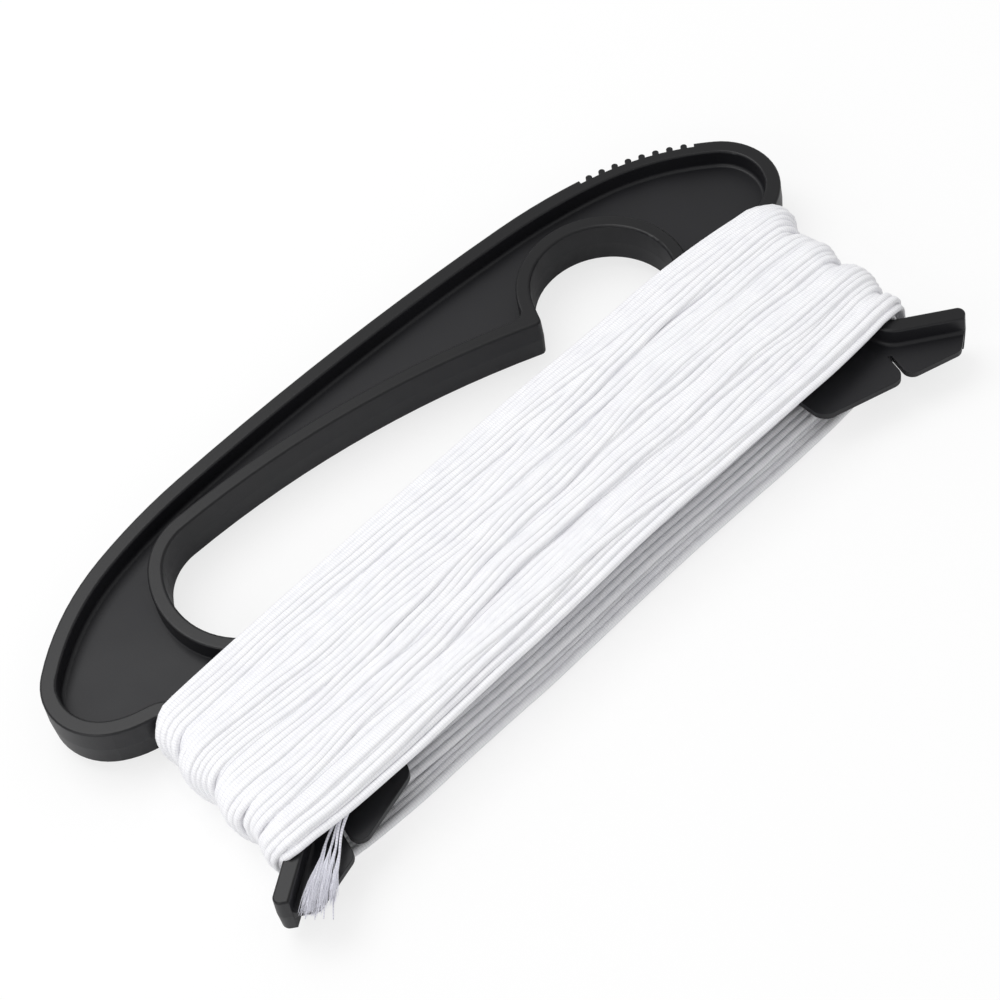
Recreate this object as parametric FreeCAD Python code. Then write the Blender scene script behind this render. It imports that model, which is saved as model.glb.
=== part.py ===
import FreeCAD, Part
import math
import os

# Kite line winder: a one-piece moulded frame, and the line that is wound lengthwise round its two arms.
# Lengths are in millimetres. X runs along the winding, +Y points to the hand hold, +Z is up.
# The winder lies flat on its winding. The origin is under the middle of the frame, where it rests.

# Hand hold: outer edge, from the middle of the back to the notch, as arcs that meet smoothly
BACK_Y = 56.5            # outer edge at the middle
BACK_RADIUS = 690.0
BACK_HALF_WIDTH = 46.2   # where the back's long arc ends
BACK_SIDE_RADIUS = 131.0
SHOULDER_RADIUS = 59.6
NOSE_RADIUS = 13.9
UNDER_NOSE_RADIUS = 19.9
BACK_SIDE_HEADING = 14.7   # degrees that the edge has turned at the end of each arc
SHOULDER_HEADING = 42.6
NOSE_HEADING = 145.4
UNDER_NOSE_HEADING = 165.0
UNDER_NOSE_STRAIGHT = 2.3

# Notches that hold the line, and the two horns below them
NOTCH_FILLET = 4.0
NOTCH_LENGTH = 33.5      # straight floor of the notch
HORN_FILLET = 3.0
HORN_HEADING = 34.8      # slope of the horn's outer flank, degrees
HORN_FLANK = 12.6        # straight part of the flank
HORN_TIP_RADIUS = 1.6
HORN_END_HEADING = 145.0
HORN_END = 5.4           # straight part of the horn's end
HORN_CORNER_RADIUS = 2.0
PLATE_HEADING = 196.1    # slope of the horn plate's lower edge
PLATE_CORNER_RADIUS = 3.5

# Line slit in each horn plate
SLIT_INSET = 6.2         # the slit opens this far inside the notch's floor
SLIT_LENGTH = 6.8
SLIT_WIDTH = 0.8
SLIT_LEAN = 14.0         # degrees from +Y; both slits lean the same way
SLIT_MOUTH_RADIUS = 2.4

# Hand opening: three-finger part, pointed finger rest, round index part
ARM_INNER_X = 57.3       # inner edge of each arm
ARM_BLEND_RADIUS = 16.6
INDEX_X = 50.6
INDEX_Y = 26.3
INDEX_RADIUS = 15.9
REST_TIP_X = 33.9
REST_TIP_Y = 27.9
REST_TIP_RADIUS = 1.2
REST_BACK_RADIUS = 2.5   # rounds the rim's outside behind the tip
FINGER_TOP_RADIUS = 215.0
FINGER_TOP_HEADING = 202.1
FINGER_CORNER_X = -52.9
FINGER_CORNER_RADIUS = 12.8
FINGER_SIDE_RADIUS = 21.1
FINGER_SIDE_TURN = 37.2
FINGER_LOWER_RADIUS = 17.9

# Section of the moulding
WEB_THICKNESS = 1.6
RIM_WIDTH = 3.45
RIM_HEIGHT = 10.4        # outer rim, over both faces
GRIP_RIM_WIDTH = 3.2
GRIP_RIM_HEIGHT = 10.6   # rim round the hand opening, over both faces
GRIP_RIM_END_Y = -20.0   # it stops under the winding
DRAFT = 0.2              # the walls stand out by this at the parting line, half way up
EDGE_FILLET = 0.5
WEB_FILLET = 0.8

# Thumb ribs on the outer edge
RIB_COUNT = 8
RIB_PITCH = 3.27
RIB_FIRST = 70.2         # along the edge from its middle
RIB_RADIUS = 0.75
RIB_DEPTH = 1.15

# Winding: outer layer of line over the inner layers
LINE_DIAMETER = 1.2
LOOPS = 24
WINDING_TOP_Y = 12.4     # centreline of the first and last turn, at the notches
WINDING_BOTTOM_Y = -28.7
END_DEPTH = 5.9          # centreline of the end turns beyond the notch's floor
WINDING_HALF_HEIGHT = 8.6
TURN_RADIUS = 5.5
BOW_HEADING = 3.0        # outermost runs leave the notches spread by this, degrees
EDGE_DROP = 1.6          # the outermost turns lie this much lower
EDGE_DROP_FROM = 0.85    # share of the half width where the drop begins
HUMP_HEIGHT = 0.8
HUMP_PITCH = 12.5
HUMP_TOP_Y = 10.0
CORNER_HUMP_RIGHT = 4.5  # the turns climb out at one corner and lie in at the other
CORNER_HUMP_LEFT = -1.2
CORNER_HUMP_WIDTH = 4.5
FLAT_DEPTH = 0.5         # flattened under the winder's weight
LAYER_CLEARANCE = 0.1
GAP_POINT_STEP = 0.25    # distance between the points that the line's gap to itself is measured on
CORE_END_DEPTH = 3.0     # the inner layers reach this much less far than the end turns
CORE_CORNER_RADIUS = 8.0
CORE_SIDE_MARGIN = 0.4   # the inner layers' sides lie this far outside the first and last turn

# Loose end of the line, from the end of the outer layer over the left horn: how far inside the notch's
# floor, place along Y, height from the web's middle
TAIL_FIRST_RUN = 4.5
TAIL_ROUTE = [
    (10.1, -31.0, 6.1),
    (6.0, -32.8, 4.4),
    (2.4, -35.2, 3.0),
    (-1.6, -37.9, 2.3),
    (-5.2, -40.7, 2.1),
    (-8.0, -43.4, 1.7),
]
FIRST_RUN_X = 20.0       # the outer layer starts under the winding
LAST_RUN_INSET = 18.7    # and leaves its last run this far inside the notch's floor

MIDDLE_Z = WINDING_HALF_HEIGHT + LINE_DIAMETER / 2 - FLAT_DEPTH
LINE_RADIUS = LINE_DIAMETER / 2
OPEN_END_Y = -70.0       # outlines that are open at the horns are closed well below them


def vector(x, y, z=0.0):
    return FreeCAD.Vector(x, y, z)


class Outline:
    """A line drawn by going straight and turning; offset moves the whole line to its left."""

    def __init__(self, x, y, heading, offset=0.0):
        self.heading = heading
        self.offset = offset
        self.edges = []
        self.point = vector(x, y) + self.left() * offset

    def ahead(self):
        angle = math.radians(self.heading)
        return vector(math.cos(angle), -math.sin(angle))

    def left(self):
        angle = math.radians(self.heading)
        return vector(math.sin(angle), math.cos(angle))

    def drawn_point(self):
        """Where the line would be without its offset."""
        return self.point - self.left() * self.offset

    def straight(self, length):
        end = self.point + self.ahead() * length
        self.edges.append(Part.LineSegment(self.point, end).toShape())
        self.point = end

    def turn_right(self, radius, heading):
        self._arc(radius + self.offset, heading, -1.0)

    def turn_left(self, radius, heading):
        self._arc(radius - self.offset, heading, 1.0)

    def _arc(self, radius, heading, side):
        start = self.point
        centre = start + self.left() * radius * side
        half_way = (self.heading + heading) / 2
        self.heading = half_way
        middle = centre - self.left() * radius * side
        self.heading = heading
        end = centre - self.left() * radius * side
        self.edges.append(Part.Arc(start, middle, end).toShape())
        self.point = end


def mirrored(edges):
    plane_normal = vector(1, 0)
    return [edge.mirror(vector(0, 0), plane_normal) for edge in reversed(edges)]


def closed_face(edges):
    ordered = Part.__sortEdges__(edges)
    return Part.Face(Part.Wire(ordered))


def prism(face, half_height):
    solid = face.extrude(vector(0, 0, 2 * half_height))
    solid.translate(vector(0, 0, -half_height))
    return solid


def edge_arcs():
    """The outer edge's arcs from the middle of the back: radius, and heading where each one ends."""
    return [
        (BACK_RADIUS, math.degrees(math.asin(BACK_HALF_WIDTH / BACK_RADIUS))),
        (BACK_SIDE_RADIUS, BACK_SIDE_HEADING),
        (SHOULDER_RADIUS, SHOULDER_HEADING),
        (NOSE_RADIUS, NOSE_HEADING),
        (UNDER_NOSE_RADIUS, UNDER_NOSE_HEADING),
    ]


def edge_to_notch(offset=0.0):
    line = Outline(0, BACK_Y, 0.0, offset)
    for radius, heading in edge_arcs():
        line.turn_right(radius, heading)
    line.straight(UNDER_NOSE_STRAIGHT)
    line.turn_left(NOTCH_FILLET, 90.0)
    return line


def notch_floor_x():
    return edge_to_notch().point.x


def edge_to_flank(flank, offset=0.0):
    """Right half of the outer edge, from the middle of the back to the end of the horn's flank."""
    line = edge_to_notch(offset)
    line.straight(NOTCH_LENGTH)
    line.turn_left(HORN_FILLET, HORN_HEADING)
    line.straight(flank)
    return line


def outer_half(offset=0.0):
    """Right half of the outer edge, from the middle of the back to the corner of the horn's end."""
    line = edge_to_flank(HORN_FLANK, offset)
    line.turn_right(HORN_TIP_RADIUS, HORN_END_HEADING)
    line.straight(HORN_END)
    return line


def plate_half(offset=0.0):
    """Right half of the outer edge, and on round the horn plate to the arm's inner edge."""
    line = outer_half(offset)
    line.turn_right(HORN_CORNER_RADIUS, PLATE_HEADING)
    slope = math.radians(PLATE_HEADING - 180.0)
    corner = PLATE_CORNER_RADIUS * (1 - math.sin(slope))
    line.straight((line.drawn_point().x - ARM_INNER_X - corner) / math.cos(slope))
    line.turn_right(PLATE_CORNER_RADIUS, 270.0)
    return line


def hole_outline(offset=0.0):
    """Edge of the hand opening, from the right arm's inner edge round to the left arm's."""
    blend = ARM_BLEND_RADIUS
    right_turn = math.degrees(math.acos((ARM_INNER_X - INDEX_X + blend) / (INDEX_RADIUS + blend)))
    right_y = INDEX_Y - (INDEX_RADIUS + blend) * math.sin(math.radians(right_turn))
    tip_distance = math.hypot(REST_TIP_X - INDEX_X, REST_TIP_Y - INDEX_Y)
    tip_angle = math.degrees(math.atan2(REST_TIP_Y - INDEX_Y, REST_TIP_X - INDEX_X))
    tangent_angle = tip_angle - math.degrees(math.acos(INDEX_RADIUS / tip_distance))
    rest_heading = 270.0 - tangent_angle
    tip_turn = math.radians(FINGER_TOP_HEADING - rest_heading)
    rest_length = math.sqrt(tip_distance ** 2 - INDEX_RADIUS ** 2) - REST_TIP_RADIUS * math.tan(tip_turn / 2)

    line = Outline(ARM_INNER_X, OPEN_END_Y, 270.0, offset)
    line.straight(right_y - OPEN_END_Y)
    line.turn_right(blend, 270.0 + right_turn)
    line.turn_left(INDEX_RADIUS, rest_heading)
    line.straight(rest_length)
    line.turn_right(REST_TIP_RADIUS, FINGER_TOP_HEADING)

    # the long top edge ends where it has come to the finger corner's place
    start_x = line.drawn_point().x
    start_sine = math.sin(math.radians(FINGER_TOP_HEADING))
    end_sine = start_sine + (start_x - FINGER_CORNER_X) / FINGER_TOP_RADIUS
    line.turn_left(FINGER_TOP_RADIUS, 180.0 - math.degrees(math.asin(end_sine)))
    line.turn_left(FINGER_CORNER_RADIUS, 90.0 + FINGER_SIDE_TURN)
    line.turn_left(FINGER_SIDE_RADIUS, 90.0)
    side_x = line.drawn_point().x
    lower = math.degrees(math.acos(1 - (-ARM_INNER_X - side_x) / (FINGER_LOWER_RADIUS + blend)))
    line.turn_left(FINGER_LOWER_RADIUS, 90.0 - lower)
    line.turn_right(blend, 90.0)
    line.straight(line.point.y - OPEN_END_Y)
    return line


def closed_below(right, end_y):
    """The face between a right half, its mirror image and a line across at end_y."""
    below = vector(right.point.x, end_y)
    edges = list(right.edges)
    edges.append(Part.LineSegment(right.point, below).toShape())
    edges += mirrored(edges)
    edges.append(Part.LineSegment(below, vector(-below.x, below.y)).toShape())
    return closed_face(edges)


def hull_face(offset=0.0):
    """The whole outer edge, closed straight down past the horns."""
    return closed_below(outer_half(offset), OPEN_END_Y)


def hole_face(offset=0.0):
    line = hole_outline(offset)
    start = line.edges[0].valueAt(line.edges[0].FirstParameter)
    closing = Part.LineSegment(line.point, start).toShape()
    return closed_face(line.edges + [closing])


def plan_face(offset=0.0):
    """The moulding's plan: outer edge and both horn plates, less the hand opening."""
    right = plate_half(offset)
    across = Part.LineSegment(right.point, vector(-right.point.x, right.point.y)).toShape()
    outside = closed_face(right.edges + mirrored(right.edges) + [across])
    return outside.cut(hole_face()).Faces[0]


def slit_tool(side):
    """A slot with a round end, and two rounded corners where it opens."""
    mouth_x = notch_floor_x() - SLIT_INSET
    lower = plate_edge_y(mouth_x)
    lean = math.radians(SLIT_LEAN * side)
    half = SLIT_WIDTH / 2
    along = vector(math.sin(lean), math.cos(lean))
    across = vector(math.cos(lean), -math.sin(lean))
    mouth = vector(mouth_x, lower)
    inner = mouth + along * (SLIT_LENGTH - half)
    outside = mouth - along * SLIT_LENGTH
    edges = [
        Part.LineSegment(outside - across * half, inner - across * half).toShape(),
        Part.Arc(inner - across * half, inner + along * half, inner + across * half).toShape(),
        Part.LineSegment(inner + across * half, outside + across * half).toShape(),
        Part.LineSegment(outside + across * half, outside - across * half).toShape(),
    ]
    face = closed_face(edges)
    if side < 0:
        face = face.mirror(vector(0, 0), vector(1, 0))
    return prism(face, WEB_THICKNESS)


def plate_edge_y(x):
    """Height of the right horn plate's straight lower edge at x."""
    edge = plate_half().edges[-2]
    start = edge.valueAt(edge.FirstParameter)
    end = edge.valueAt(edge.LastParameter)
    return start.y + (x - start.x) * (end.y - start.y) / (end.x - start.x)


def web():
    solid = prism(plan_face(), WEB_THICKNESS / 2)
    for side in (1, -1):
        solid = solid.cut(slit_tool(side))
    mouth_x = notch_floor_x() - SLIT_INSET
    corners = []
    for edge in solid.Edges:
        box = edge.BoundBox
        if box.ZLength < WEB_THICKNESS * 0.9 or box.XLength > 0.01:
            continue
        x = abs(box.Center.x)
        if abs(x - mouth_x) > SLIT_WIDTH or abs(box.Center.y - plate_edge_y(x)) > 0.05:
            continue
        corners.append(edge)
    return solid.makeFillet(SLIT_MOUTH_RADIUS, corners)


def drafted(face_at, half_height):
    """A block whose walls lean in from the parting line to both faces."""
    wide = face_at(DRAFT).OuterWire
    narrow = face_at(0.0).OuterWire
    halves = []
    for side in (1, -1):
        top = narrow.copy()
        top.translate(vector(0, 0, side * half_height))
        halves.append(Part.makeLoft([wide, top], True, True))
    return halves[0].fuse(halves[1]).removeSplitter()


def outer_rim():
    """The rim round the edge; on the horns it stands along the flank alone, up to the tip."""
    block = drafted(hull_face, RIM_HEIGHT / 2)
    past_tip = edge_to_flank(4 * HORN_FLANK)
    inside = closed_below(past_tip, 2 * OPEN_END_Y).makeOffset2D(-RIM_WIDTH, 2)
    return block.cut(prism(inside, RIM_HEIGHT))


def grip_rim():
    swollen = hole_face().makeOffset2D(GRIP_RIM_WIDTH + REST_BACK_RADIUS, 0)
    outside = swollen.makeOffset2D(-REST_BACK_RADIUS, 0)
    block = prism(outside, GRIP_RIM_HEIGHT / 2)
    ring = block.cut(drafted(lambda offset: hole_face(offset), GRIP_RIM_HEIGHT / 2))
    size = 4 * notch_floor_x()
    keep = Part.makeBox(size, size, GRIP_RIM_HEIGHT)
    keep.translate(vector(-size / 2, GRIP_RIM_END_Y, -GRIP_RIM_HEIGHT / 2))
    return ring.common(keep)


def back_point(distance, depth):
    """A point this far along the outer edge from its middle, and this deep inside it."""
    line = Outline(0, BACK_Y, 0.0)
    for radius, heading in edge_arcs():
        reached = line.heading + math.degrees(distance / radius)
        distance -= radius * math.radians(heading - line.heading)
        line.turn_right(radius, min(reached, heading))
        if distance <= 0:
            break
    return line.point - line.left() * depth


def with_thumb_ribs(frame):
    """A shallow step is cut in the edge, and round-nosed ribs fill it up to the edge again."""
    places = [RIB_FIRST + RIB_PITCH * number for number in range(RIB_COUNT)]
    start = places[0] - RIB_PITCH * 0.72
    end = places[-1] + RIB_PITCH * 0.72
    steps = 4 * RIB_COUNT
    distances = [start + (end - start) * step / steps for step in range(steps + 1)]
    outer = [back_point(distance, -4 * DRAFT) for distance in distances]
    inner = [back_point(distance, RIB_DEPTH) for distance in reversed(distances)]
    step_face = Part.Face(Part.makePolygon(outer + inner + outer[:1]))
    ribs = []
    for distance in places:
        rib = Part.makeCylinder(RIB_RADIUS, RIM_HEIGHT, back_point(distance, RIB_RADIUS - DRAFT / 2))
        rib.translate(vector(0, 0, -RIM_HEIGHT / 2))
        ribs.append(rib)
    return frame.cut(prism(step_face, RIM_HEIGHT)).fuse(ribs)


def rounded(rim, height):
    """The top and bottom edges of a rim are rounded."""
    tops = []
    for edge in rim.Edges:
        box = edge.BoundBox
        if box.ZLength < 0.001 and abs(abs(box.Center.z) - height / 2) < 0.001:
            tops.append(edge)
    return rim.makeFillet(EDGE_FILLET, tops)


def run_into_web(frame):
    """The outer rim's inner wall runs into the web with a small radius on both faces."""
    wall_top = RIM_HEIGHT / 2 - EDGE_FILLET
    corners = []
    for edge in frame.Edges:
        box = edge.BoundBox
        if box.ZLength > 0.001 or abs(abs(box.Center.z) - WEB_THICKNESS / 2) > 0.001:
            continue
        for face in frame.ancestorsOfType(edge, Part.Face):
            reach = max(face.BoundBox.ZMax, -face.BoundBox.ZMin)
            if abs(reach - wall_top) < 0.01:
                corners.append(edge)
    return frame.makeFillet(WEB_FILLET, corners)


def winder_frame():
    rims = [rounded(outer_rim(), RIM_HEIGHT), rounded(grip_rim(), GRIP_RIM_HEIGHT)]
    frame = web().fuse(rims).removeSplitter().Solids[0]
    return with_thumb_ribs(run_into_web(frame)).Solids[0]


def across_share(y):
    """Where a turn lies across the winding: 1 at the hand hold's side, -1 at the horns' side."""
    middle = (WINDING_TOP_Y + WINDING_BOTTOM_Y) / 2
    return (y - middle) / (WINDING_TOP_Y - middle)


def run_height(y):
    """Height of a run's centreline above the frame's middle; it drops at the winding's long edges."""
    past = max(0.0, abs(across_share(y)) - EDGE_DROP_FROM) / (1 - EDGE_DROP_FROM)
    return WINDING_HALF_HEIGHT - EDGE_DROP * past ** 2


def turn_x(y, side):
    """How far out a turn's centreline goes round the arm: three humps, and one bolder corner."""
    hump = HUMP_HEIGHT * (math.cos(2 * math.pi * (y - HUMP_TOP_Y) / HUMP_PITCH) - 1)
    corner = CORNER_HUMP_RIGHT if side > 0 else CORNER_HUMP_LEFT
    corner *= math.exp(-((y - WINDING_TOP_Y) / CORNER_HUMP_WIDTH) ** 2)
    return notch_floor_x() + END_DEPTH + hump + corner


class Line:
    """A centreline in space, drawn by arcs and straights that meet smoothly."""

    def __init__(self, point, ahead):
        self.point = point
        self.ahead = ahead
        self.edges = []

    def straight_to(self, end):
        self.edges.append(Part.LineSegment(self.point, end).toShape())
        self.point = end

    def arc_to(self, end):
        """The one arc that leaves along ahead and reaches end."""
        chord = end - self.point
        direction = FreeCAD.Vector(chord).normalize()
        cosine = self.ahead.dot(direction)
        sideways = self.ahead - direction * cosine
        if sideways.Length < 0.0001:
            self.straight_to(end)
            return
        rise = chord.Length / 2 * math.tan(math.acos(min(1.0, cosine)) / 2)
        middle = (self.point + end) * 0.5 + sideways.normalize() * rise
        self.edges.append(Part.Arc(self.point, middle, end).toShape())
        self.ahead = (direction * 2 * cosine - self.ahead).normalize()
        self.point = end

    def turn_round(self, across):
        """A quarter turn, a short straight and a quarter turn, to the point that lies across."""
        ahead = self.ahead
        down = FreeCAD.Vector(across).normalize()
        goal = self.point + across
        self.arc_to(self.point + (ahead + down) * TURN_RADIUS)
        self.straight_to(self.point + down * (across.Length - 2 * TURN_RADIUS))
        self.ahead = down
        self.arc_to(goal)


def sloped(side, spread):
    """The level direction along X that turns towards +Y by spread."""
    return vector(side * math.cos(spread), math.sin(spread))


def winding_line():
    """The outer layer's centreline: runs below and above the arms by turns, from the first to the last."""
    runs = 2 * LOOPS
    advance = (WINDING_TOP_Y - WINDING_BOTTOM_Y) / (runs - 1)
    lean = math.radians(BOW_HEADING)
    half_run = notch_floor_x() + END_DEPTH - TURN_RADIUS
    last_x = notch_floor_x() - LAST_RUN_INSET
    line = None
    for number in range(runs):
        level = -1 if number % 2 == 0 else 1
        side = -level
        y = WINDING_TOP_Y - advance * number
        end_x = turn_x(y, side) - TURN_RADIUS
        end_lean = lean * across_share(y)
        if number == 0:
            start_lean = -end_lean * FIRST_RUN_X / half_run
            rise = (end_x - FIRST_RUN_X) * math.tan((start_lean - end_lean) / 2)
            drift = 2 * half_run * math.tan(lean / (runs - 1))
            start = vector(FIRST_RUN_X, y + drift - rise, level * run_height(y))
            line = Line(start, sloped(side, start_lean))
        else:
            start_lean = math.asin(line.ahead.y)
        if number == runs - 1:
            end_lean *= last_x / half_run
            end_x = last_x
        length = abs(side * end_x - line.point.x)
        rise = length * math.tan((start_lean - end_lean) / 2)
        line.arc_to(vector(side * end_x, line.point.y + rise, line.point.z))
        if number < runs - 1:
            next_y = y - advance
            sideways = vector(-line.ahead.y, line.ahead.x) * (1 if line.ahead.x < 0 else -1)
            step = (next_y - line.point.y) / sideways.y
            drop = -level * (run_height(next_y) + run_height(y))
            line.turn_round(sideways * step + vector(0, 0, drop))
    line.straight_to(line.point + line.ahead * LINE_DIAMETER)
    return line


def first_heading(edges):
    return edges[0].tangentAt(edges[0].FirstParameter)


def tube(edges):
    """The line's round section along a centreline."""
    start = edges[0].valueAt(edges[0].FirstParameter)
    section = Part.Wire(Part.Circle(start, first_heading(edges), LINE_RADIUS).toShape())
    shell = Part.BRepOffsetAPI.MakePipeShell(Part.Wire(edges))
    shell.add(section)
    shell.build()
    shell.makeSolid()
    return shell.shape()


def least_gap(edges):
    """The least gap between the line and another part of itself, from points along its centreline."""
    points = []
    travelled = 0.0
    for edge in edges:
        count = max(2, math.ceil(edge.Length / GAP_POINT_STEP))
        first = edge.FirstParameter
        reach = edge.LastParameter - first
        for step in range(count):
            points.append((travelled + edge.Length * step / count, edge.valueAt(first + reach * step / count)))
        travelled += edge.Length
    cells = {}
    least = 4 * LINE_DIAMETER
    for place, point in points:
        cell = [math.floor(value / (2 * LINE_DIAMETER)) for value in point]
        around = [(cell[0] + i, cell[1] + j, cell[2] + k) for i in (-1, 0, 1) for j in (-1, 0, 1) for k in (-1, 0, 1)]
        for key in around:
            for other_place, other in cells.get(key, []):
                if place - other_place > math.pi * TURN_RADIUS:
                    least = min(least, point.distanceToPoint(other))
        cells.setdefault(tuple(cell), []).append((place, point))
    return least - LINE_DIAMETER


def flattened(solid):
    """The wound line, cut flat where it rests."""
    size = 3 * notch_floor_x()
    floor = Part.makeBox(size, size, size)
    floor.translate(vector(-size / 2, -size / 2, -MIDDLE_Z - size))
    return solid.cut(floor).Solids[0]


def inner_layers():
    """The line under the outer layer: a barrel-shaped block round both arms, with the frame through it."""
    inset = LINE_RADIUS + LAYER_CLEARANCE
    half_height = WINDING_HALF_HEIGHT - inset
    half_length = notch_floor_x() + END_DEPTH - CORE_END_DEPTH
    bow = math.tan(math.radians(BOW_HEADING) / 2) * half_length
    top = WINDING_TOP_Y + CORE_SIDE_MARGIN
    bottom = WINDING_BOTTOM_Y - CORE_SIDE_MARGIN
    right = vector(half_length, top)
    left = vector(-half_length, top)
    low_right = vector(half_length, bottom)
    low_left = vector(-half_length, bottom)
    edges = [
        Part.Arc(left, vector(0, top + bow), right).toShape(),
        Part.LineSegment(right, low_right).toShape(),
        Part.Arc(low_right, vector(0, bottom - bow), low_left).toShape(),
        Part.LineSegment(low_left, left).toShape(),
    ]
    block = prism(closed_face(edges), half_height)
    block = block.makeFillet(CORE_CORNER_RADIUS, [edge for edge in block.Edges if edge.BoundBox.ZLength > half_height])
    around = [edge for edge in block.Edges if edge.BoundBox.ZLength < 0.001]
    block = block.makeFillet(TURN_RADIUS - inset, around)
    slot = prism(hull_face(DRAFT + LAYER_CLEARANCE), GRIP_RIM_HEIGHT / 2 + LAYER_CLEARANCE)
    return block.cut(slot).Solids[0]


def tail_edges(start, ahead):
    """The loose end: straight runs joined by arcs that take up 0.45 of the shorter run beside them."""
    floor_x = notch_floor_x()
    route = [start, start + ahead * TAIL_FIRST_RUN]
    route += [vector(inset - floor_x, y, z) for inset, y, z in TAIL_ROUTE]
    line = Line(route[0], ahead)
    radii = []
    for before, corner, after in zip(route, route[1:], route[2:]):
        cut = 0.45 * min(before.distanceToPoint(corner), corner.distanceToPoint(after))
        onward = (after - corner).normalize()
        turn = line.ahead.getAngle(onward)
        line.straight_to(corner - line.ahead * cut)
        line.arc_to(corner + onward * cut)
        radii.append(cut / math.tan(turn / 2))
    line.straight_to(route[-1])
    print("tail bend radii:", ", ".join(f"{radius:.1f}" for radius in radii))
    return line.edges


def report_tube(name, solid, edges):
    length = sum(edge.Length for edge in edges)
    expected = math.pi * LINE_RADIUS ** 2 * length
    print(f"{name}: {length:.1f} mm long, volume {solid.Volume:.2f}, section times length {expected:.2f}")


def main():
    os.makedirs("parts", exist_ok=True)
    frame = winder_frame()
    line = winding_line()
    print(f"line's least gap to itself: {least_gap(line.edges):.3f} mm")
    wound = tube(line.edges)
    report_tube("outer layer", wound, line.edges)
    loose = tail_edges(line.point, line.ahead)
    tail = tube(loose)
    report_tube("tail", tail, loose)

    box = frame.optimalBoundingBox()
    placed = vector(0, -(box.YMin + box.YMax) / 2, MIDDLE_Z)
    print(f"moved by {placed.y:.4f} along Y and {placed.z:.4f} up")
    parts = {
        "winder_frame": frame,
        "line_inner_layers": inner_layers(),
        "line_outer_layer": flattened(wound),
        "line_tail": tail,
    }
    for name, shape in parts.items():
        shape.translate(placed)
        shape.exportStep(f"parts/{name}.step")


main()
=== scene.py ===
import bpy
import math
import numpy as np
from mathutils import Matrix, Vector


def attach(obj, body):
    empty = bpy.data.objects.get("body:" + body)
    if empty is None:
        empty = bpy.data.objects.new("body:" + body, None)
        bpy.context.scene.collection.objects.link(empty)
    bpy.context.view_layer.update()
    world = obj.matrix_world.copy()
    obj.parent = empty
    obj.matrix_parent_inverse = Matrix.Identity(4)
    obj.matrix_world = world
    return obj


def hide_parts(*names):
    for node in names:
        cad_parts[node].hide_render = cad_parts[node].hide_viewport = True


# Kite line winder: the moulded frame keeps its solid, and braided line is wound on it strand by strand.
# Lengths are in metres, in the solids' frame: X along the winding, +Y towards the hand hold, +Z up.
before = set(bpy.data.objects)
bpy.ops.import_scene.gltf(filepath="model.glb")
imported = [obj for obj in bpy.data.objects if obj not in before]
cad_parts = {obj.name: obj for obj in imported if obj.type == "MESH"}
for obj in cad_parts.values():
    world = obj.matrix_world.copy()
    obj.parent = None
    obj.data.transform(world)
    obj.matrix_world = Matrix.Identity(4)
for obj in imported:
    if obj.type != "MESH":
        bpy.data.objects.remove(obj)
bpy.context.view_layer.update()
MM = 0.001
MIDDLE_Z = 8.7 * MM      # the frame's middle plane
SHIFT_Y = -7.8340 * MM   # from the plan's own Y to this frame's


def colour(code):
    """A colour written as sRGB hex, as linear values for a shader."""
    parts = [int(code[place:place + 2], 16) / 255 for place in (1, 3, 5)]
    return tuple(c / 12.92 if c <= 0.04045 else ((c + 0.055) / 1.055) ** 2.4 for c in parts) + (1.0,)


def add(tree, kind, inputs=None, **settings):
    """A shader node with its settings; an input is a value, or the socket that it is linked to."""
    node = tree.nodes.new(kind)
    for name, value in settings.items():
        setattr(node, name, value)
    for name, value in (inputs or {}).items():
        if isinstance(value, bpy.types.NodeSocket):
            tree.links.new(value, node.inputs[name])
        else:
            node.inputs[name].default_value = value
    return node


def material(name):
    made = bpy.data.materials.new(name)
    made.use_nodes = True
    made.node_tree.nodes.clear()
    return made, made.node_tree


# Camera: at the photograph's angle, 53 degrees above the winder and turned a little in its own plane
CAMERA_AIM = Vector((-4.19 * MM, SHIFT_Y, MIDDLE_Z + 5.3 * MM))
CAMERA_DISTANCE = 533.3 * MM
CAMERA_AZIMUTH = math.radians(-33.04)
CAMERA_ELEVATION = math.radians(53.30)
CAMERA_ROLL = math.radians(12.02)

back = Vector((
    math.sin(CAMERA_AZIMUTH) * math.cos(CAMERA_ELEVATION),
    -math.cos(CAMERA_AZIMUTH) * math.cos(CAMERA_ELEVATION),
    math.sin(CAMERA_ELEVATION),
))
level_right = Vector((0, 0, 1)).cross(back).normalized()
level_up = back.cross(level_right)
right = level_right * math.cos(CAMERA_ROLL) - level_up * math.sin(CAMERA_ROLL)
up = level_right * math.sin(CAMERA_ROLL) + level_up * math.cos(CAMERA_ROLL)
camera = bpy.data.objects.new("camera", bpy.data.cameras.new("camera"))
camera.data.lens = 94.07
camera.data.sensor_width = 36.0
camera.data.clip_start = 0.01
facing = Matrix((right, up, back)).transposed().to_4x4()
camera.matrix_world = Matrix.Translation(CAMERA_AIM + back * CAMERA_DISTANCE) @ facing
bpy.context.collection.objects.link(camera)
bpy.context.scene.camera = camera


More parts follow.
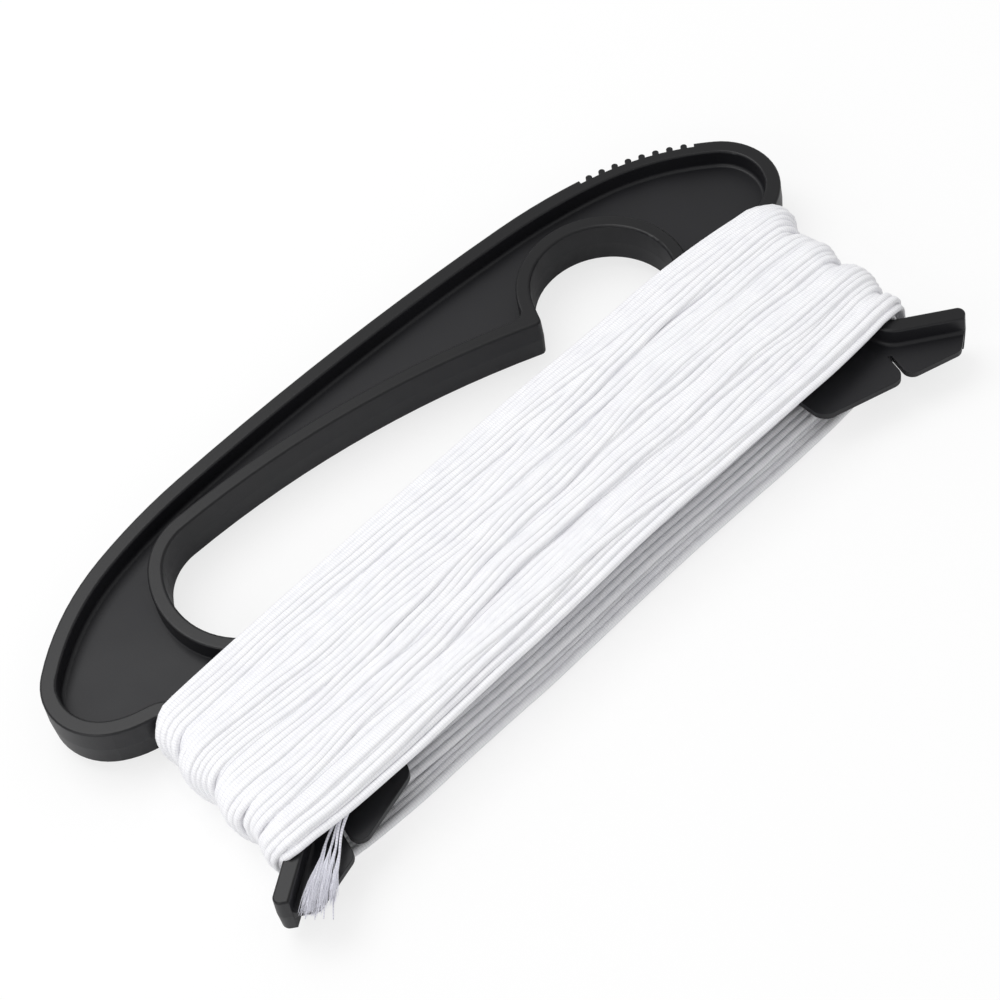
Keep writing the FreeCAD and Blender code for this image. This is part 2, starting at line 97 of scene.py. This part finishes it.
# Frame moulding: black polypropylene, satin from the mould. The tops of its rims are a little glossier, and
# painted shade makes them darker than the web and the walls, which are cloudy with a fine grain; all edges
# are slightly rounded.
RIM_TOP_FROM = 4.9 * MM  # from the frame's middle plane, where the look of the rims' tops begins
RIM_TOP_AT = 5.1 * MM    # and where it is reached
EDGE_ROUNDING = 0.3 * MM
plastic, tree = material("black_polypropylene")
where = add(tree, "ShaderNodeTexCoord")
height = add(tree, "ShaderNodeSeparateXYZ", {"Vector": where.outputs["Object"]})
above = add(tree, "ShaderNodeMath", {0: height.outputs["Z"], 1: MIDDLE_Z}, operation="SUBTRACT")
face = add(tree, "ShaderNodeMath", {0: above.outputs[0]}, operation="ABSOLUTE")
rim_top = add(tree, "ShaderNodeMapRange", {
    0: face.outputs[0], 1: RIM_TOP_FROM, 2: RIM_TOP_AT, 3: 0.0, 4: 1.0,
})
cloudy = add(tree, "ShaderNodeTexNoise", {"Vector": where.outputs["Object"], "Scale": 45.0, "Detail": 4.0})
grain = add(tree, "ShaderNodeTexNoise", {"Vector": where.outputs["Object"], "Scale": 2600.0, "Detail": 2.0})
shade = add(tree, "ShaderNodeMix", {
    0: cloudy.outputs["Fac"], 6: colour("#141416"), 7: colour("#1c1c20"),
}, data_type="RGBA")
# painted shade: the rims' tops take a darker flat colour than the cloudy plastic of the web and the walls
rim_top_painted_shade = add(tree, "ShaderNodeMix", {
    0: rim_top.outputs[0], 6: shade.outputs[2], 7: colour("#121214"),
}, data_type="RGBA")
matte = add(tree, "ShaderNodeMapRange", {0: cloudy.outputs["Fac"], 1: 0.3, 2: 0.7, 3: 0.40, 4: 0.50})
gloss = add(tree, "ShaderNodeMix", {0: rim_top.outputs[0], 2: matte.outputs[0], 3: 0.34}, data_type="FLOAT")
edges = add(tree, "ShaderNodeBevel", {"Radius": EDGE_ROUNDING}, samples=6)
skin = add(tree, "ShaderNodeBump", {
    "Height": grain.outputs["Fac"], "Distance": 0.00003, "Strength": 0.35,
    "Normal": edges.outputs["Normal"],
})
base = add(tree, "ShaderNodeBsdfPrincipled", {
    "Base Color": rim_top_painted_shade.outputs[2], "Roughness": gloss.outputs[0], "Specular IOR Level": 0.32,
    "Normal": skin.outputs["Normal"],
})
add(tree, "ShaderNodeOutputMaterial", {"Surface": base.outputs["BSDF"]})
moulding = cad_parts["winder_frame"]
moulding.data.materials.clear()
moulding.data.materials.append(plastic)


YARN_WIDTH = 0.542       # round the strand, from one yarn of the braid to the next, in millimetres
YARN_LENGTH = 1.15       # and along it


def braid(name, white, shade, sheen):
    """Fine braided line: diagonal yarns from the strand's girth and length, a little raised, with painted
    shade in the grooves between them.
    """
    made, tree = material(name)
    place = add(tree, "ShaderNodeUVMap", uv_map="length_and_girth")
    split = add(tree, "ShaderNodeSeparateXYZ", {"Vector": place.outputs["UV"]})
    around = add(tree, "ShaderNodeMath", {
        0: split.outputs["X"], 1: 2 * math.pi / YARN_WIDTH,
    }, operation="MULTIPLY")
    along = add(tree, "ShaderNodeMath", {
        0: split.outputs["Y"], 1: 2 * math.pi / YARN_LENGTH,
    }, operation="MULTIPLY")
    turns = {0: around.outputs[0], 1: along.outputs[0]}
    one = add(tree, "ShaderNodeMath", turns, operation="ADD")
    other = add(tree, "ShaderNodeMath", turns, operation="SUBTRACT")
    one = add(tree, "ShaderNodeMath", {0: one.outputs[0]}, operation="SINE")
    other = add(tree, "ShaderNodeMath", {0: other.outputs[0]}, operation="SINE")
    yarn = add(tree, "ShaderNodeMath", {0: one.outputs[0], 1: other.outputs[0]}, operation="MULTIPLY")
    # painted shade: the grooves between the yarns take the darker shade colour, and their crests the white
    lit = add(tree, "ShaderNodeMapRange", {0: yarn.outputs[0], 1: -1.0, 2: 0.3, 3: 0.0, 4: 1.0})
    where = add(tree, "ShaderNodeTexCoord")
    patch = add(tree, "ShaderNodeTexNoise", {
        "Vector": where.outputs["Object"], "Scale": 260.0, "Detail": 3.0,
    })
    soft = add(tree, "ShaderNodeMix", {
        0: lit.outputs[0], 6: colour(shade), 7: colour(white),
    }, data_type="RGBA")
    tint = add(tree, "ShaderNodeMapRange", {0: patch.outputs["Fac"], 1: 0.3, 2: 0.7, 3: 0.0, 4: 0.35})
    mixed = add(tree, "ShaderNodeMix", {
        0: tint.outputs[0], 6: soft.outputs[2], 7: colour(shade),
    }, data_type="RGBA")
    raised = add(tree, "ShaderNodeBump", {"Height": yarn.outputs[0], "Distance": 0.00005, "Strength": 0.6})
    base = add(tree, "ShaderNodeBsdfPrincipled", {
        "Base Color": mixed.outputs[2], "Roughness": 0.62, "Sheen Weight": sheen, "Sheen Roughness": 0.4,
        "Normal": raised.outputs["Normal"],
    })
    add(tree, "ShaderNodeOutputMaterial", {"Surface": base.outputs["BSDF"]})
    return made


# the second colour of each is painted shade for the yarns' grooves, and also the tone of the random tint
# patches
line_white = braid("braided_polyester", "#fafafb", "#e2e2e8", 0.1)
ply_white = braid("untwisted_plies", "#f2f2f8", "#c4c4d2", 0.25)
fibre_white = braid("polyester_fibres", "#f2f2f8", "#dcdce8", 0.35)


# Wound line: white braided polyester, wound lengthwise round both arms in the notches and pressed flat.
# Each strand is a tube with its length and girth as UV, in millimetres. Loops lie side by side, a little
# skewed on the frame; some cross the others on top, as hand-wound line does. Plan millimetres until made.
STRAND = 1.38            # height of a strand
PRESSED = 1.35           # a strand's width over its height
SIDES = 8                # flats round a strand
LOOPS = 31
INNER_LOOPS = 26
INNER_Z = 6.15           # centreline of the inner runs above and below the frame's middle
INNER_TURN_X = 85.2      # how far out the inner end turns go
NOTCH_X = 83.0
END_REACH = 5.9          # centreline of the end turns beyond the notch's floor
TOP_Z = 7.6              # centreline of the upper runs above the frame's middle
BOTTOM_Z = -8.0          # and of the lower runs, which rest on the floor
LOWER_BULGE = 2.4        # how far the lower runs bulge out towards the horns at mid length
BULGE_END_X = 88         # where that bulge has ended
EDGE_DROP = 1.1          # how far the outermost strands lie nearer the middle plane
ARM_MIDDLE_Y = -9.5      # middle of the notches, to which the end turns are drawn
RUN_END_X = 81.0         # where the runs end and the end turns begin
rng = np.random.default_rng(11)


def smooth_line(x, places, values):
    """The values between the places, rounded off over about 12 mm."""
    return sum(np.interp(x + shift, places, values) for shift in (-6, -3, 0, 3, 6)) / 5


def upper_edge(x):
    """The winding's edge at the hand hold's side."""
    places = (-94, -80, -64, 0, 56, 72, 82, 94)
    return smooth_line(x, places, (11.4, 12.8, 13.5, 16.4, 18.2, 17.7, 16.8, 14.6))


def lower_edge(x):
    """The winding's edge at the horns' side."""
    places = (-94, -86, -76, -60, -30, 15, 68, 80, 94)
    return smooth_line(x, places, (-30.2, -32.3, -33.3, -33.0, -31.9, -29.9, -29.1, -27.9, -25.9))


def run_y(x, share, level=1):
    """Where a run lies across: share 0 is at the horns' side, and 1 at the hand hold's."""
    low = lower_edge(x) + STRAND / 2
    high = upper_edge(x) - STRAND / 2
    if level < 0:
        low = low - LOWER_BULGE * (1 - np.clip(np.abs(x) / BULGE_END_X, 0, 1) ** 6)
    sway = 0.30 * np.sin(2 * math.pi * (x / 61 + 1.1 * share))
    sway += 0.22 * np.sin(2 * math.pi * (x / 37 - 1.7 * share + 0.3))
    sway += 0.10 * np.sin(2 * math.pi * (x / 17 + 3.1 * share))
    return low + (high - low) * share + sway * np.sin(math.pi * np.clip(share, 0.0, 1.0)) ** 0.5


def lumps(x, share):
    """The uneven surface that the layers below give the outer one."""
    high = 0.34 * np.sin(2 * math.pi * (2.2 * share + x / 240 + 0.1))
    high += 0.22 * np.sin(2 * math.pi * (4.6 * share - x / 150 + 0.45))
    return high + 0.12 * np.sin(2 * math.pi * (x / 43 + 1.9 * share))


def edge_drop(share):
    return EDGE_DROP * np.clip(np.abs(share - 0.5) * 2 - 0.8, 0, 1) ** 2 / 0.04


def run_z(x, share, level):
    drop = edge_drop(share)
    if level > 0:
        return TOP_Z + lumps(x, share) - drop
    return BOTTOM_Z + 0.55 * np.abs(lumps(x, share + 0.37)) + drop


def end_x(y, side):
    """How far out the end turns go: soft humps, a bold corner, and clear of the horn's flank."""
    hump = 0.8 * (np.cos(2 * math.pi * (y - 10) / 12.5) - 1)
    corner = (4.2 if side > 0 else -2.0) * np.exp(-((y - 12.8) / 4.5) ** 2)
    reach = NOTCH_X + END_REACH + hump + corner
    flank = NOTCH_X + 0.6 + (-y - 26.7) / 0.695 + 1.2
    return np.maximum(reach, flank)


def end_turn(before, after, side, extra=(0.0, 0.0), steps=13):
    """The points from one run's end round the arm to the other run's start."""
    angle = np.linspace(math.pi / 2, -math.pi / 2, steps)[1:-1]
    if before[2] < after[2]:
        angle = -angle
    part = 0.5 - np.sin(angle) / 2 if before[2] > after[2] else 0.5 + np.sin(angle) / 2
    y = before[1] + (after[1] - before[1]) * part
    y = ARM_MIDDLE_Y + (y - ARM_MIDDLE_Y) * (1 - 0.10 * np.cos(angle) ** 2)
    out = end_x(y, side) + extra[0] + (extra[1] - extra[0]) * part ** 2
    start_x = abs(before[0]) + (abs(after[0]) - abs(before[0])) * part
    x = start_x + (out - start_x) * np.cos(angle) ** 0.72
    high, low = max(before[2], after[2]), min(before[2], after[2])
    z = (high + low) / 2 + (high - low) / 2 * np.sign(np.sin(angle)) * np.abs(np.sin(angle)) ** 0.8
    return np.stack([side * x, y, z], axis=1)


def tube_parts(points, radius, sides, taper=None, pressed=1.0):
    """Vertices, faces and UVs of a tube, wider than high where it is pressed; UVs in millimetres."""
    points = np.asarray(points, float)
    ahead = np.gradient(points, axis=0)
    ahead /= np.linalg.norm(ahead, axis=1)[:, None]
    across = np.tile((0.0, 1.0, 0.0), (len(points), 1))
    across -= ahead * (across * ahead).sum(axis=1)[:, None]
    across /= np.linalg.norm(across, axis=1)[:, None]
    over = np.cross(ahead, across)
    angle = np.arange(sides) * 2 * math.pi / sides
    size = radius * (np.ones(len(points)) if taper is None else taper)
    wide, high = np.cos(angle), np.sin(angle)
    if pressed > 1:
        wide, high = (np.sign(part) * np.abs(part) ** 0.72 for part in (wide, high))
    ring = wide[None, :, None] * across[:, None, :] * pressed
    ring = ring + high[None, :, None] * over[:, None, :]
    vertices = (points[:, None, :] + ring * size[:, None, None]).reshape(-1, 3)
    row = np.arange(len(points) - 1)[:, None] * sides
    side = np.arange(sides)[None, :]
    onward = (side + 1) % sides
    corners = [row + side, row + onward, row + onward + sides, row + side + sides]
    faces = np.stack(corners, axis=2).reshape(-1, 4)
    along = np.concatenate([[0.0], np.cumsum(np.linalg.norm(np.diff(points, axis=0), axis=1))])
    girth = 2 * math.pi * radius / sides
    u = np.stack([side, side + 1, side + 1, side], axis=2) * girth + np.zeros((len(points) - 1, 1, 1))
    v = np.stack([along[:-1], along[:-1], along[1:], along[1:]], axis=1)[:, None, :]
    v = v + np.zeros((1, sides, 1))
    return vertices, faces, np.stack([u, v], axis=3).reshape(-1, 2)


def tube_object(name, tubes, finish):
    """One mesh of many tubes: points, radius, sides, taper and how far pressed, in plan millimetres."""
    vertices, faces, uvs = [], [], []
    count = 0
    for points, radius, sides, taper, pressed in tubes:
        corners, quads, places = tube_parts(points, radius, sides, taper, pressed)
        vertices.append(corners)
        faces.append(quads + count)
        uvs.append(places)
        count += len(corners)
    vertices = np.concatenate(vertices) * MM + np.array((0.0, SHIFT_Y, MIDDLE_Z))
    mesh = bpy.data.meshes.new(name)
    mesh.from_pydata(vertices.tolist(), [], np.concatenate(faces).tolist())
    layer = mesh.uv_layers.new(name="length_and_girth")
    layer.data.foreach_set("uv", np.concatenate(uvs).ravel())
    mesh.polygons.foreach_set("use_smooth", [True] * len(mesh.polygons))
    mesh.materials.append(finish)
    made = bpy.data.objects.new(name, mesh)
    bpy.context.collection.objects.link(made)
    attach(made, "root")
    return made


def wound(loops, run, turn, spacing, reach):
    """One unbroken line: upper run, right turn, lower run and left turn for every loop."""
    pieces = []
    place = np.linspace(-reach, reach, int(2 * reach / spacing) + 1)
    for number in range(loops):
        share = (number + 0.25) / (loops - 0.5)
        next_share = (number + 0.75) / (loops - 0.5)
        upper = run(place, share, share, 1)
        lower = run(place[::-1], share, next_share, -1)
        pieces.append(upper)
        pieces.append(turn(upper[-1], lower[0], 1))
        pieces.append(lower)
        if number < loops - 1:
            following = run(place[:1], (number + 1.25) / (loops - 0.5), (number + 1.25) / (loops - 0.5), 1)
            pieces.append(turn(lower[-1], following[0], -1))
    return np.concatenate(pieces)


def outer_run(x, share_from, share_to, level):
    share = share_from + (share_to - share_from) * np.linspace(0, 1, len(x))
    return np.stack([x, run_y(x, share, level), run_z(x, share, level)], axis=1)


def inner_run(x, share_from, share_to, level):
    """A run of the inner layers: narrower at the arms, fuller between them."""
    share = share_from + (share_to - share_from) * np.linspace(0, 1, len(x))
    near = np.clip((np.abs(x) / 82) ** 4, 0, 1)
    low = lower_edge(x) + 1.9 + near * (-26.2 - lower_edge(x) - 1.9)
    high = upper_edge(x) - 1.9 + near * (8.4 - upper_edge(x) + 1.9)
    y = low + (high - low) * share + 0.12 * np.sin(2 * math.pi * (x / 53 + 1.3 * share))
    return np.stack([x, y, np.full(len(x), level * INNER_Z)], axis=1)


def inner_turn(before, after, side):
    angle = np.linspace(math.pi / 2, -math.pi / 2, 9)[1:-1]
    part = (0.5 - np.sin(angle) / 2)
    y = before[1] + (after[1] - before[1]) * part
    x = abs(before[0]) + (INNER_TURN_X - abs(before[0])) * np.cos(angle) ** 0.5
    z = before[2] * np.sign(np.sin(angle)) * np.abs(np.sin(angle)) ** 0.7
    return np.stack([side * x, y, z], axis=1)


# The line over the others: a few strands that were laid at a slant and sunk softly into the ones they cross
BUNDLES = (              # share across at the left and right, where the slant begins and ends, strands
    (0.60, 0.52, -92, 40, 4),
    (0.08, 0.20, -80, 85, 3),
    (0.90, 0.80, -70, 92, 4),
    (0.36, 0.27, -30, 92, 3),
    (0.44, 0.58, -70, 70, 4),
    (0.24, 0.34, -92, -10, 3),
    (0.72, 0.82, -20, 80, 3),
    (0.14, 0.06, -40, 60, 2),
    (0.70, 0.66, -92, -30, 2),
)
SINK = 0.30              # how far up a strand lies on the one that it crosses, in strands
TAUT_SHARE = 0.3         # how much of a crossing strand's height comes from its being taut
WINDING_WIDTH = 43       # across the upper runs


def taut(x, needed):
    """The lowest line without a dip that stays on or above what is needed."""
    kept = []
    for point in zip(x, needed):
        while len(kept) > 1:
            (x0, z0), (x1, z1) = kept[-2:]
            if (z1 - z0) * (point[0] - x0) > (point[1] - z0) * (x1 - x0):
                break
            kept.pop()
        kept.append(point)
    return np.interp(x, [point[0] for point in kept], [point[1] for point in kept])


def crossing_strands():
    x = np.linspace(-RUN_END_X, RUN_END_X, 82)
    shares = [(number + 0.25) / (LOOPS - 0.5) for number in range(LOOPS)]
    laid = [(run_y(x, share), run_z(x, share, 1)) for share in shares]
    tubes = []
    for left, right, begin, end, strands in BUNDLES:
        slant = np.clip((x - begin) / (end - begin), 0, 1)
        slant = slant * slant * (3 - 2 * slant)
        for number in range(strands):
            share = left + (right - left) * slant + (number - (strands - 1) / 2) * STRAND / WINDING_WIDTH
            y = run_y(x, share) + 0.12 * np.sin(x / 9 + 5 * number + 9 * left)
            needed = np.full(len(x), -20.0)
            for other_y, other_z in laid:
                apart = np.clip(1 - ((y - other_y) / STRAND) ** 2, 0, None)
                rest = other_z + SINK * STRAND * np.sqrt(apart)
                needed = np.where(apart > 0, np.maximum(needed, rest), needed)
            soft = np.pad(TAUT_SHARE * taut(x, needed) + (1 - TAUT_SHARE) * needed, 6, mode="edge")
            z = np.convolve(soft, np.ones(13) / 13, mode="valid")
            laid.append((y, z))
            run = np.stack([x, y, z], axis=1)
            low_left = np.array((-RUN_END_X, y[0] - 1.0, -6.6))
            low_right = np.array((RUN_END_X, y[-1] - 1.0, -6.6))
            rise = end_turn(run[-1], low_right, 1, (1.2, -1.6))
            fall = end_turn(run[0], low_left, -1, (1.2, -1.6))[::-1]
            tubes.append((np.concatenate([fall, run, rise]), STRAND / 2, SIDES, None, PRESSED))
    return tubes


outer_path = wound(LOOPS, outer_run, end_turn, 3.0, RUN_END_X)
# The line's start is out of sight: one more end turn, which dives in under the others
start_below = outer_path[0] + np.array((0.0, 1.5, -13.0))
hidden_start = end_turn(outer_path[0], start_below, -1, (0.0, -1.6))[::-1]
outer_path = np.concatenate([hidden_start, outer_path])
outer_tubes = [(outer_path, STRAND / 2, SIDES, None, PRESSED)] + crossing_strands()
outer = tube_object("outer_line", outer_tubes, line_white)
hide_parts("line_outer_layer")
inner_path = wound(INNER_LOOPS, inner_run, inner_turn, 6.0, 80.0)
inner = tube_object("inner_line", [(inner_path, STRAND / 2, SIDES, None, PRESSED)], line_white)
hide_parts("line_inner_layers")


# Loose end: the line untwists where it leaves the winding over the left horn. Its plies spread apart and
# end in a soft brush of fibres that lies over the horn's web.
TAIL_ROUTE = (
    (-64.3, -29.8, 6.9), (-68.8, -30.1, 6.8), (-72.9, -31.0, 6.1), (-77.0, -32.8, 4.4),
    (-80.6, -35.2, 3.0), (-84.6, -37.9, 2.3), (-88.2, -40.7, 2.1), (-91.0, -43.4, 1.7),
)
curve = bpy.data.curves.new("tail_route", "CURVE")
curve.dimensions = "3D"
curve.resolution_u = 12
spline = curve.splines.new("NURBS")
spline.points.add(len(TAIL_ROUTE) - 1)
for point, (x, y, z) in zip(spline.points, TAIL_ROUTE):
    point.co = (x, y, z, 1.0)
spline.order_u = 3
spline.use_endpoint_u = True
route_object = bpy.data.objects.new("tail_route", curve)
bpy.context.collection.objects.link(route_object)
route_mesh = bpy.data.meshes.new_from_object(route_object)
route = np.array([tuple(vertex.co) for vertex in route_mesh.vertices])
bpy.data.objects.remove(route_object)
travelled = np.concatenate([[0.0], np.cumsum(np.linalg.norm(np.diff(route, axis=0), axis=1))])
tail_share = travelled / travelled[-1]
tail_ahead = np.gradient(route, axis=0)
tail_ahead /= np.linalg.norm(tail_ahead, axis=1)[:, None]
tail_side = np.cross(tail_ahead, (0.0, 0.0, 1.0))
tail_side /= np.linalg.norm(tail_side, axis=1)[:, None]
tail_over = np.cross(tail_side, tail_ahead)


def strand_along(start, side_way, over_way):
    """A path along the tail from a share of its length on, moved sideways and up by what is given there."""
    keep = tail_share >= start
    moved = route + tail_side * side_way[:, None] + tail_over * over_way[:, None]
    return moved[keep]


PLIES = 4
PLY_APART = 1.75         # between two plies where they end
BOUND_UNTIL = 0.12       # the share of the tail's length up to which its plies are still twisted together
FIBRES = 455


def spread_at(share):
    """How far the plies have spread at a share of the tail's length."""
    return np.clip((share - BOUND_UNTIL) / (1 - BOUND_UNTIL), 0, 1) ** 0.8


plies = []
spread = spread_at(tail_share)
for number in range(PLIES):
    angle = 2 * math.pi * (number / PLIES + tail_share * 2.2)
    bound = 0.33 * (1 - spread)
    sideways = bound * np.cos(angle) + spread * (number - (PLIES - 1) / 2) * PLY_APART
    above = bound * np.sin(angle) + spread * (0.25 if number % 2 else -0.1)
    taper = 1 - 0.7 * spread
    plies.append((strand_along(0.0, sideways, above), 0.42, 7, taper, 1.0))
loose_end = tube_object("loose_end", plies, ply_white)

fibres = []
tufts = np.linspace(-3.6, 3.6, 13) + rng.uniform(-0.25, 0.25, 13)
for number in range(FIBRES):
    tuft = number % len(tufts)
    start = rng.uniform(0.52, 0.76)
    reach = np.clip((tail_share - start) / (1 - start), 0, 1)
    fan = tufts[tuft] + rng.normal(0, 0.30)
    lift = 0.15 + 0.5 * abs(math.sin(2.3 * tuft)) + abs(rng.normal(0, 0.25))
    nearest_ply = np.clip(round(fan / 1.8 + 0.5) - 0.5, -(PLIES - 1) / 2, (PLIES - 1) / 2)
    base_side = spread_at(start) * nearest_ply * PLY_APART
    bend = 0.4 * math.sin(1.7 * tuft) + rng.normal(0, 0.15)
    sideways = base_side + (fan - base_side) * reach ** 1.2 + bend * np.sin(math.pi * reach)
    sideways += 0.06 * np.sin(9 * reach + number)
    above = lift * reach - 0.4 * reach ** 3
    path = strand_along(start, sideways, above)
    shorter = 0.30 * np.clip(-fan / 3.6, 0, 1)
    path = path[:max(4, int(len(path) * (rng.uniform(0.8, 1.0) - shorter)))]
    fibres.append((path, rng.uniform(0.05, 0.075), 4, np.linspace(1.0, 0.45, len(path)), 1.0))
brush = tube_object("loose_fibres", fibres, fibre_white)
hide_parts("line_tail")


# Floor: a plain pale surface under the winder. To the camera it is mostly white, and it keeps a shadow.
floor_mesh = bpy.data.meshes.new("floor")
half = 1.5
corners = [(-half, -half, 0), (half, -half, 0), (half, half, 0), (-half, half, 0)]
floor_mesh.from_pydata(corners, [], [(0, 1, 2, 3)])
floor = bpy.data.objects.new("floor", floor_mesh)
bpy.context.collection.objects.link(floor)
pale, tree = material("pale_floor")
base = add(tree, "ShaderNodeBsdfDiffuse", {"Color": colour("#f4f4f4")})
white = add(tree, "ShaderNodeEmission", {"Color": colour("#ffffff"), "Strength": 1.0})
seen = add(tree, "ShaderNodeLightPath")
share = add(tree, "ShaderNodeMath", {0: seen.outputs["Is Camera Ray"], 1: 0.75}, operation="MULTIPLY")
mixed = add(tree, "ShaderNodeMixShader", {
    0: share.outputs[0], 1: base.outputs["BSDF"], 2: white.outputs["Emission"],
})
add(tree, "ShaderNodeOutputMaterial", {"Surface": mixed.outputs["Shader"]})
floor_mesh.materials.append(pale)

# Light: a soft studio, one broad lamp above and behind, one at the left, and an even pale surround
world = bpy.data.worlds.new("studio")
bpy.context.scene.world = world
world.use_nodes = True
world.node_tree.nodes.clear()
tree = world.node_tree
surround = add(tree, "ShaderNodeBackground", {"Color": colour("#ffffff"), "Strength": 0.66})
add(tree, "ShaderNodeOutputWorld", {"Surface": surround.outputs["Background"]})


def lamp(name, place, aim, size, power):
    made = bpy.data.objects.new(name, bpy.data.lights.new(name, "AREA"))
    made.data.shape = "SQUARE"
    made.data.size = size
    made.data.energy = power
    made.location = place
    made.rotation_euler = (Vector(aim) - Vector(place)).to_track_quat("-Z", "Y").to_euler()
    bpy.context.collection.objects.link(made)


lamp("overhead_softbox", (-0.1, 0.35, 0.8), (0, 0, 0), 0.6, 3.6)
lamp("left_softbox", (-0.8, -0.2, 0.5), (0, 0, 0), 0.5, 1.6)

bpy.context.scene.view_settings.view_transform = "Standard"
